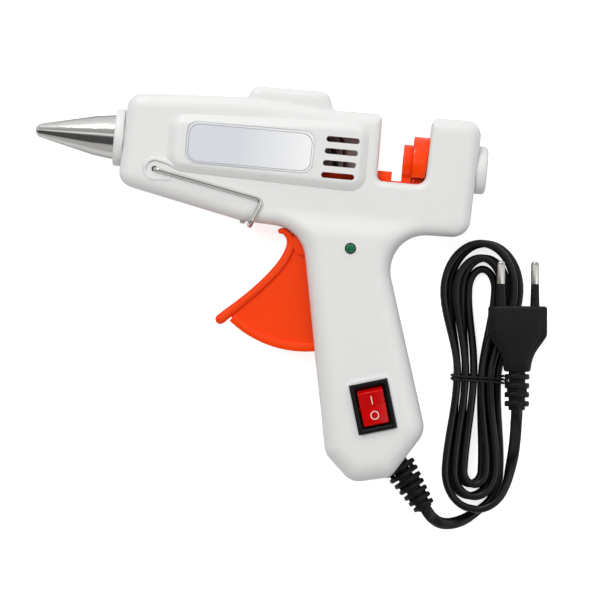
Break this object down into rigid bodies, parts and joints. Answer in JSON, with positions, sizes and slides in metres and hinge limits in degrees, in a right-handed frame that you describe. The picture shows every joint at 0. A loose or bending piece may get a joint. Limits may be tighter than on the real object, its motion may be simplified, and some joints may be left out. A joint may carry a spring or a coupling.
{
  "type": "hot glue gun",
  "caption": "Small hot glue gun with a trigger-driven stick feed, wire stand, rocker switch and a mains cord tied in a hank, lying on its side.",
  "frame": {"origin": "on the flat face of the right side panel, below the barrel's axis and midway along the housing", "axes": "+X along the barrel to the rear, +Y to the top of the gun, +Z from the right side to the left side"},
  "size_m": [0.1759, 0.1417, 0.0304],
  "materials": {
    "white_shell": "fine moulded satin, white",
    "label_foil": "satin silver foil, bare",
    "spring_steel": "bright drawn steel",
    "turned_metal": "turned, fine rings",
    "cast_metal": "as cast, dull",
    "white_ceramic": "unglazed",
    "silicone": "dull red silicone",
    "orange_feed": "orange, smooth moulded",
    "black_plastic": "black, fine satin",
    "red_plastic": "red, smooth",
    "brass_contact": "stamped brass",
    "green_lens": "clear dark green",
    "board_green": "lacquered board",
    "black_pvc": "black flexible vinyl",
    "plated_pin": "nickel plated"
  },
  "bodies": {
    "body": {"housing_left": "white_shell", "housing_right": "white_shell", "label_plate": "label_foil", "housing_screw_1": "spring_steel", "housing_screw_2": "spring_steel", "housing_screw_3": "spring_steel", "housing_screw_4": "spring_steel", "housing_screw_5": "spring_steel", "housing_screw_6": "spring_steel", "nozzle": "turned_metal", "front_collar": "white_shell", "melt_chamber": "cast_metal", "ptc_heater": "white_ceramic", "heater_clip": "spring_steel", "inlet_sleeve": "silicone", "rear_guide_bush": "white_shell", "return_spring": "spring_steel", "switch_frame": "black_plastic", "switch_terminal_line": "brass_contact", "switch_terminal_load": "brass_contact", "lamp_lens": "green_lens", "lamp_board": "board_green", "cord_strain_relief": "black_pvc", "neutral_lead": "black_pvc", "heater_lead": "black_pvc", "supply_lead": "black_pvc", "cord_hank": "black_pvc", "plug_body": "black_pvc", "plug_pin_left": "plated_pin", "pin_sleeve_left": "black_plastic", "plug_pin_right": "plated_pin", "pin_sleeve_right": "black_plastic", "cord_lead": "black_pvc", "plug_lead": "black_pvc", "hank_tie": "black_plastic"},
    "trigger": {"trigger": "orange_feed"},
    "carriage": {"feed_carriage": "orange_feed"},
    "clamp": {"grip_clamp": "orange_feed"},
    "rocker": {"switch_rocker": "red_plastic"},
    "stand": {"wire_stand": "spring_steel"}
  },
  "joints": [
    {"name": "trigger_squeeze", "type": "hinge", "parent": "body", "child": "trigger", "pos_m": [0.0046, -0.02909, 0.0135], "axis": [0, 0, 1], "range_deg": [0, 24], "stiffness_Nm_per_rad": 0.12, "springref_deg": -8.59, "deforming": ["return_spring"]},
    {"name": "carriage_feed", "type": "slide", "parent": "body", "child": "carriage", "axis": [-1, 0, 0], "range_m": [0, 0.008]},
    {"name": "clamp_tilt", "type": "hinge", "parent": "carriage", "child": "clamp", "pos_m": [0.0396, -0.007, 0.0135], "axis": [0, 0, 1], "range_deg": [-5.1, 0]},
    {"name": "rocker_tilt", "type": "hinge", "parent": "body", "child": "rocker", "pos_m": [0.03162, -0.08145, 0.0267], "axis": [-0.9578, -0.2874, 0], "range_deg": [0, 20]},
    {"name": "stand_swing", "type": "hinge", "parent": "body", "child": "stand", "pos_m": [-0.0475, -0.0096, 0.0135], "axis": [0, 0, -1], "range_deg": [0, 115]}
  ],
  "couplings": [
    {"joint": "carriage_feed", "follows": "trigger_squeeze", "m_per_rad": 0.018861},
    {"joint": "clamp_tilt", "follows": "trigger_squeeze", "ratio": -0.20833}
  ]
}
